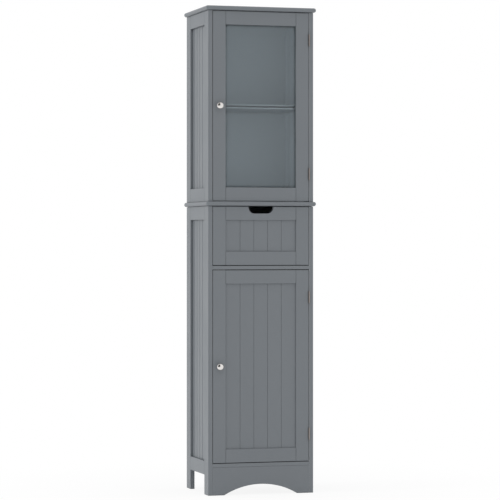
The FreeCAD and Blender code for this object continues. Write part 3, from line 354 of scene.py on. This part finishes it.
def feed(sketch, shader, **sockets):
    """Links or sets the shader's sockets, named with underscores for spaces."""
    for name, value in sockets.items():
        socket = shader.inputs[name.replace("_", " ")]
        if isinstance(value, bpy.types.NodeSocket):
            sketch.tree.links.new(value, socket)
        else:
            socket.default_value = value


def once(maker):
    """Makes a finish at its first use, under its own name, so that several operators share it."""
    made = []

    def give():
        if not made:
            made.append(maker())
            made[0].name = maker.__name__
        return made[0]
    return give


def painted(colour, edge, crease, specular, inside=None):
    """Sprayed coat: peel, slow drift, a paler tone on the arrises, and painted shade in the
    creases.

    edge and the painted shade each hold a tone, how much of it shows and how far it reaches. inside
    is the tone of the faces that look into the cabinet.
    """
    paint = settings().paint
    material, sketch, shader = new_material("coat")
    spray = sketch.group(spray_group(), peel_size=paint.peel_size, drift_size=paint.drift_size)
    drift = spray.outputs["Drift"]
    paler = sketch.math("MULTIPLY", drift, paint.drift_share)
    tone = sketch.mix(paler, rgba(colour), rgba(paint.bare_edge))
    if inside:
        tone = sketch.mix(sketch.group(inner_face_group()).outputs["Mask"], tone, rgba(inside))
    # The edge tone lightens worn arrises, or is a painted highlight on a shelf's lips; the other
    # tone is painted shade in grooves, gaps and corners.
    for tree, (shade, share, width) in ((edge_group(), edge), (crease_group(), crease)):
        mask = sketch.group(tree, width=width).outputs["Mask"]
        tone = sketch.mix(sketch.math("MULTIPLY", mask, share), tone, rgba(shade))
    smooth, dull = paint.roughness - paint.gloss_drift, paint.roughness + paint.gloss_drift
    feed(sketch, shader, Base_Color=tone, Specular_IOR_Level=specular,
         Roughness=sketch.remap(drift, 0, 1, smooth, dull),
         Normal=sketch.bump(spray.outputs["Peel"], paint.peel_depth))
    return material


def cabinet_coat(colour, crease_share, inside=None):
    """The cabinet's sprayed coat in one colour, with more or less painted shade in its creases."""
    paint = settings().paint
    return painted(colour, (paint.bare_edge, paint.edge_share, paint.edge_width),
                   (paint.crease, crease_share, paint.crease_width), paint.specular, inside)


@once
def satin_grey_paint():
    paint = settings().paint
    return cabinet_coat(paint.colour, paint.crease_share)


@once
def beaded_panel_paint():
    paint = settings().paint
    return cabinet_coat(paint.colour, paint.groove_share)


@once
def side_frame_paint():
    paint = settings().paint
    return cabinet_coat(paint.colour, paint.crease_share, settings().fitting.inner_side)


@once
def side_panel_paint():
    paint = settings().paint
    return cabinet_coat(paint.colour, paint.groove_share, settings().fitting.inner_side)


@once
def back_board_lacquer():
    return cabinet_coat(settings().fitting.back_board, settings().paint.groove_share)


@once
def lipped_shelf_lacquer():
    """Lacquer with a painted highlight on the lips of the front edge, and painted shade in the
    groove between them.
    """
    fitting = settings().fitting
    return painted(fitting.shelf, (fitting.shelf_lip, 1.0, fitting.shelf_lip_width),
                   (fitting.shelf_groove, 1.0, fitting.shelf_groove_reach), fitting.shelf_specular)


@once
def frosted_glass():
    """Etched pane with cloudy patches, and painted shade along the frame."""
    glass = settings().glass
    material, sketch, shader = new_material("pane")
    place = sketch.place()
    wave = sketch.noise(glass.wave_size, place, detail=1.0)
    mottle = sketch.noise(glass.mottle_size, place, detail=4.0)
    cloud = sketch.remap(mottle, *NOISE_RANGE, 0, glass.mottle_share)
    tone = sketch.mix(cloud, rgba(glass.colour), rgba(glass.cast))
    # Painted shade: the pane darkens towards the frame, where the frame shades it.
    rim = sketch.group(crease_group(), width=glass.rim_width).outputs["Mask"]
    tone = sketch.mix(sketch.math("MULTIPLY", rim, glass.rim_share), tone, rgba(glass.rim))
    fine, coarse = glass.frosting - glass.frosting_drift, glass.frosting + glass.frosting_drift
    feed(sketch, shader, Base_Color=tone,
         Roughness=sketch.remap(mottle, *NOISE_RANGE, fine, coarse),
         Normal=sketch.bump(wave, glass.wave_depth),
         IOR=glass.bending, Transmission_Weight=glass.clearness)
    return material


def metal(colour, roughness, spread, line_depth, stretch):
    """Plated metal with drawn lines and a soft smear."""
    kind = settings().metal
    material, sketch, shader = new_material("metal")
    drawn = sketch.group(drawn_group(), line_size=kind.brush_size, stretch=stretch)
    dull = tuple(level * METAL_DULLING for level in colour)
    tone = sketch.mix(drawn.outputs["Smear"], rgba(colour), rgba(dull))
    feed(sketch, shader, Base_Color=tone, Metallic=1.0,
         Roughness=sketch.remap(drawn.outputs["Smear"], 0, 1, roughness, roughness + spread),
         Normal=sketch.bump(drawn.outputs["Lines"], line_depth))
    return material


@once
def polished_nickel():
    kind = settings().metal
    return metal(kind.knob, roughness=0.07, spread=0.06, line_depth=kind.polish_depth, stretch=1.0)


@once
def satin_nickel():
    kind = settings().metal
    return metal(kind.hinge, roughness=0.32, spread=0.1, line_depth=kind.brush_depth, stretch=30.0)


@once
def bright_zinc():
    kind = settings().metal
    return metal(kind.zinc, roughness=0.28, spread=0.16, line_depth=kind.brush_depth, stretch=1.0)


@once
def plated_steel():
    kind = settings().metal
    return metal(kind.strike, roughness=0.24, spread=0.12, line_depth=kind.brush_depth,
                 stretch=20.0)


def moulded(colour, roughness, grain_size, grain_depth):
    """Moulded plastic or a baked coat with a fine grain."""
    material, sketch, shader = new_material("moulding")
    spray = sketch.group(spray_group(), peel_size=grain_size, drift_size=PLASTIC_DRIFT_SIZE)
    dull = tuple(level * PLASTIC_DULLING for level in colour)
    drift = spray.outputs["Drift"]
    feed(sketch, shader, Base_Color=sketch.mix(drift, rgba(colour), rgba(dull)),
         Roughness=sketch.remap(drift, 0, 1, roughness, roughness + PLASTIC_GLOSS_DRIFT),
         Normal=sketch.bump(spray.outputs["Peel"], grain_depth))
    return material


@once
def white_epoxy():
    return moulded(settings().fitting.epoxy, roughness=0.3,
                   grain_size=1.2 * MM, grain_depth=0.01 * MM)


@once
def natural_nylon():
    return moulded(settings().fitting.nylon, roughness=0.42,
                   grain_size=0.6 * MM, grain_depth=0.004 * MM)


@once
def moulded_catch():
    return moulded(settings().fitting.catch, roughness=0.5,
                   grain_size=0.4 * MM, grain_depth=0.006 * MM)


@once
def beech():
    """Straight-grained dowel wood."""
    fitting = settings().fitting
    material, sketch, shader = new_material("dowel")
    drawn = sketch.group(drawn_group(), line_size=fitting.beech_line, stretch=12.0)
    lines, smear = drawn.outputs["Lines"], drawn.outputs["Smear"]
    feed(sketch, shader,
         Base_Color=sketch.mix(lines, rgba(fitting.beech), rgba(fitting.beech_grain)),
         Roughness=sketch.remap(smear, 0, 1, fitting.beech_smooth, fitting.beech_dull),
         Normal=sketch.bump(lines, fitting.beech_depth))
    return material


def dress(material, *nodes):
    """Gives a finish to CAD nodes, all of which carry at least one slot."""
    for name in nodes:
        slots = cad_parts[name].material_slots
        if not slots:
            raise RuntimeError(f"{name} has no slot for its finish")
        for slot in slots:
            slot.material = material


def sided(*endings):
    """Names of the nodes of all four side frames."""
    return [f"{level}_{side}_{ending}" for level in ("upper", "lower") for side in ("left", "right")
            for ending in endings]


class CABINET_OT_paint_carcass(bpy.types.Operator):
    """Paints the boards, apron and side frames, and lacquers the shelves and the back"""
    bl_idname = "cabinet.paint_carcass"
    bl_label = "Paint Carcass"

    def execute(self, context):
        dress(satin_grey_paint(), "top_board", "waist_board", "drawer_divider", "bottom_board",
              "front_apron")
        dress(side_frame_paint(), *sided("stiles", "rails"))
        dress(side_panel_paint(), *sided("panel"))
        dress(lipped_shelf_lacquer(), "upper_shelf", "lower_shelf")
        dress(back_board_lacquer(), "upper_back_panel", "lower_back_panel", "wall_rail")
        return {"FINISHED"}


class CABINET_OT_paint_doors(bpy.types.Operator):
    """Paints both doors"""
    bl_idname = "cabinet.paint_doors"
    bl_label = "Paint Doors"

    def execute(self, context):
        for piece in ("hinge_stile", "lock_stile", "rails"):
            dress(satin_grey_paint(), f"upper_door_{piece}", f"lower_door_{piece}")
        dress(satin_grey_paint(), "upper_door_beads")
        dress(beaded_panel_paint(), "lower_door_panel")
        return {"FINISHED"}


class CABINET_OT_paint_drawer(bpy.types.Operator):
    """Paints the drawer's front and box"""
    bl_idname = "cabinet.paint_drawer"
    bl_label = "Paint Drawer"

    def execute(self, context):
        dress(satin_grey_paint(), "drawer_front_stiles", "drawer_front_top_rail",
              "drawer_front_bottom_rail", "drawer_sides", "drawer_back")
        dress(beaded_panel_paint(), "drawer_front_panel")
        dress(back_board_lacquer(), "drawer_bottom")
        return {"FINISHED"}


class CABINET_OT_glaze_door(bpy.types.Operator):
    """Frosts the pane of the upper door, and lets light through it to the shelf and the back"""
    bl_idname = "cabinet.glaze_door"
    bl_label = "Glaze Door"

    def execute(self, context):
        dress(frosted_glass(), "upper_door_pane")
        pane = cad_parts["upper_door_pane"]
        pane.visible_shadow = False
        pane.visible_diffuse = False
        return {"FINISHED"}


class CABINET_OT_plate_knobs(bpy.types.Operator):
    """Polishes the knobs"""
    bl_idname = "cabinet.plate_knobs"
    bl_label = "Plate Knobs"

    def execute(self, context):
        dress(polished_nickel(), "upper_door_knob", "lower_door_knob")
        return {"FINISHED"}


class CABINET_OT_plate_hinges(bpy.types.Operator):
    """Gives the hinge leaves and pins their satin plating"""
    bl_idname = "cabinet.plate_hinges"
    bl_label = "Plate Hinges"

    def execute(self, context):
        dress(satin_nickel(), "frame_hinge_leaves", "upper_door_hinge_leaves",
              "lower_door_hinge_leaves", "hinge_pins")
        return {"FINISHED"}


class CABINET_OT_coat_runners(bpy.types.Operator):
    """Coats the drawer runners and moulds their rollers"""
    bl_idname = "cabinet.coat_runners"
    bl_label = "Coat Runners"

    def execute(self, context):
        dress(white_epoxy(), "cabinet_runners", "drawer_runners")
        dress(natural_nylon(), "cabinet_rollers", "drawer_rollers")
        return {"FINISHED"}


class CABINET_OT_plate_fixings(bpy.types.Operator):
    """Finishes screws, cams, dowels, shelf pins, catches and strike plates"""
    bl_idname = "cabinet.plate_fixings"
    bl_label = "Plate Fixings"

    def execute(self, context):
        dress(bright_zinc(), "carcass_screws", "drawer_screws", "upper_door_screws",
              "lower_door_screws", "cam_fittings", "drawer_cam_fittings", "shelf_pins")
        dress(plated_steel(), "upper_door_strike_plate", "lower_door_strike_plate")
        dress(moulded_catch(), "magnetic_catches")
        dress(beech(), "carcass_dowels")
        return {"FINISHED"}


def seen_directly(sketch):
    """One for rays from the camera, a mirror or glass, which show the white room, or else zero."""
    path = sketch.add("ShaderNodeLightPath").outputs
    direct = sketch.math("MAXIMUM", path["Is Camera Ray"], path["Is Glossy Ray"])
    return sketch.math("MAXIMUM", direct, path["Is Transmission Ray"])


def make_floor(stage):
    """Pale floor that keeps the shadow near the cabinet and fades into the white room."""
    bpy.ops.mesh.primitive_circle_add(vertices=FLOOR_SIDES, radius=stage.floor_radius,
                                      fill_type="NGON")
    floor = bpy.context.object
    floor.name = "studio_floor"
    material, sketch, shader = new_material("studio_floor")
    tree = sketch.tree
    plain = sketch.add("ShaderNodeBsdfDiffuse", {"Color": rgba(stage.floor)})
    glow = sketch.add("ShaderNodeEmission", {"Color": rgba(WHITE), "Strength": 1.0})
    fade = sketch.remap(sketch.vector("LENGTH", sketch.place())["Value"], *FLOOR_FADE)
    shown = sketch.add("ShaderNodeMixShader", {0: fade, 1: plain.outputs[0], 2: glow.outputs[0]})
    both = sketch.add("ShaderNodeMixShader",
                      {0: seen_directly(sketch), 1: plain.outputs[0], 2: shown.outputs[0]})
    output = next(node for node in tree.nodes if node.type == "OUTPUT_MATERIAL")
    tree.links.new(both.outputs[0], output.inputs["Surface"])
    tree.nodes.remove(shader)
    floor.data.materials.append(material)


def make_room(stage):
    """White room with soft light from all round, and a tall dim screen that only mirrors show."""
    world = bpy.data.worlds.new("White room")
    world.use_nodes = True
    bpy.context.scene.world = world
    sketch = Sketch(world.node_tree)
    world.node_tree.nodes.clear()
    direction = sketch.add("ShaderNodeTexCoord").outputs["Generated"]
    height = sketch.part(direction, "Z")
    flat = sketch.vector("NORMALIZE", sketch.vector("MULTIPLY", direction, (1, 1, 0))[0])[0]
    screen = (-math.sin(stage.dark_heading), -math.cos(stage.dark_heading), 0)
    facing = sketch.vector("DOT_PRODUCT", flat, screen)["Value"]
    core, spill = sketch.remap(facing, *DIM_CORE), sketch.remap(facing, *DIM_SPILL)
    dim = sketch.math("ADD", core, spill)
    dim = sketch.math("MULTIPLY", dim, sketch.remap(height, *DIM_TOP))
    mirror = sketch.add("ShaderNodeLightPath").outputs["Is Glossy Ray"]
    tone = sketch.mix(sketch.math("MULTIPLY", dim, mirror), rgba(WHITE), rgba(stage.dark_side))
    shown = sketch.add("ShaderNodeBackground", {"Color": tone, "Strength": 1.0})
    level = sketch.remap(height, 0, 1, stage.horizon, stage.zenith)
    light = sketch.add("ShaderNodeBackground", {"Color": rgba(WHITE), "Strength": level})
    both = sketch.add("ShaderNodeMixShader",
                      {0: seen_directly(sketch), 1: light.outputs[0], 2: shown.outputs[0]})
    sketch.add("ShaderNodeOutputWorld", {"Surface": both.outputs[0]})


def make_lamp(stage):
    """Distant lamp at the left, which mirrors don't show."""
    lamp = bpy.data.lights.new("key_light", "SUN")
    lamp.energy = stage.key_strength
    lamp.angle = stage.key_spread
    held = bpy.data.objects.new("key_light", lamp)
    bpy.context.scene.collection.objects.link(held)
    held.rotation_euler = (UPRIGHT - stage.key_height, 0, -stage.key_heading)
    held.visible_glossy = False


def make_camera(stage):
    """Level camera at the photograph's place."""
    lens = bpy.data.cameras.new("photo_camera")
    lens.lens = stage.lens
    lens.shift_y = stage.horizon_shift
    lens.clip_end = stage.floor_radius * 2
    camera = bpy.data.objects.new("photo_camera", lens)
    bpy.context.scene.collection.objects.link(camera)
    camera.location = stage.camera_place
    camera.rotation_euler = (UPRIGHT, 0, -stage.camera_turn)
    bpy.context.scene.camera = camera


class CABINET_OT_set_stage(bpy.types.Operator):
    """Sets the white room, floor, lamp and camera"""
    bl_idname = "cabinet.set_stage"
    bl_label = "Set Stage"

    def execute(self, context):
        stage = settings().stage
        make_floor(stage)
        make_room(stage)
        make_lamp(stage)
        make_camera(stage)
        context.scene.view_settings.view_transform = "Standard"
        return {"FINISHED"}


GROUPS = (PaintSettings, GlassSettings, MetalSettings, FittingSettings, StageSettings,
          CabinetSettings)
OPERATORS = (CABINET_OT_set_stage, CABINET_OT_paint_carcass, CABINET_OT_paint_doors,
             CABINET_OT_paint_drawer, CABINET_OT_glaze_door, CABINET_OT_plate_knobs,
             CABINET_OT_plate_hinges, CABINET_OT_coat_runners, CABINET_OT_plate_fixings)


class CABINET_PT_sidebar(bpy.types.Panel):
    """Lists the cabinet's operators and settings"""
    bl_idname = "CABINET_PT_sidebar"
    bl_label = "Cabinet"
    bl_space_type = "VIEW_3D"
    bl_region_type = "UI"
    bl_category = "Cabinet"

    def draw(self, context):
        for operator in OPERATORS:
            self.layout.operator(operator.bl_idname)
        cabinet = settings()
        for group in (cabinet.paint, cabinet.glass, cabinet.metal, cabinet.fitting, cabinet.stage):
            box = self.layout.box()
            for name in group.__annotations__:
                box.prop(group, name)


def register():
    for kind in GROUPS + OPERATORS + (CABINET_PT_sidebar,):
        bpy.utils.register_class(kind)
    bpy.types.Scene.cabinet = PointerProperty(type=CabinetSettings)


def unregister():
    del bpy.types.Scene.cabinet
    for kind in reversed(GROUPS + OPERATORS + (CABINET_PT_sidebar,)):
        bpy.utils.unregister_class(kind)


def main():
    register()
    for operator in OPERATORS:
        family, name = operator.bl_idname.split(".")
        getattr(getattr(bpy.ops, family), name)()


if __name__ == "__main__":
    main()
